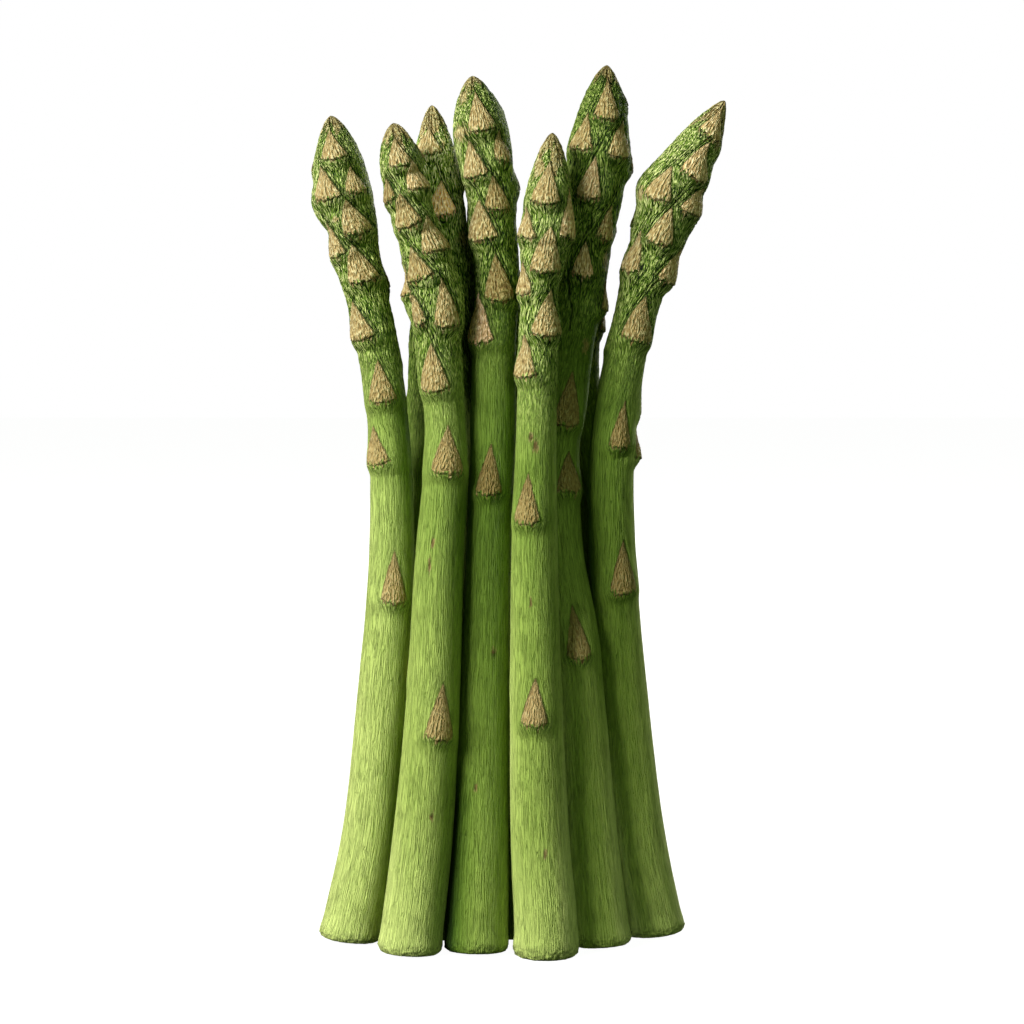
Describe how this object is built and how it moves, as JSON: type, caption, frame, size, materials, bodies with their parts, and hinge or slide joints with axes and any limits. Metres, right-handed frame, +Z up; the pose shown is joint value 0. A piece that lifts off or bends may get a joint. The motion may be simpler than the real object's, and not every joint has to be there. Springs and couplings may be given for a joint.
{
  "type": "bundle of asparagus",
  "caption": "Fresh green asparagus spears standing close together on their cut ends, pinched at the waist and spread at the tips.",
  "frame": {"origin": "middle of the bundle on the surface that its cut ends stand on", "axes": "+Z up along the spears, +Y to the back, +X to the right seen from the front"},
  "size_m": [0.1041, 0.0512, 0.2197],
  "materials": {
    "asparagus": "matte, fibrous green skin that pales towards the cut end, with dry tan scale leaves"
  },
  "bodies": {
    "root": {"spear_01": "asparagus", "spear_02": "asparagus", "spear_03": "asparagus", "spear_04": "asparagus", "spear_05": "asparagus", "spear_06": "asparagus", "spear_07": "asparagus", "spear_08": "asparagus", "spear_09": "asparagus", "spear_10": "asparagus"}
  },
  "joints": []
}
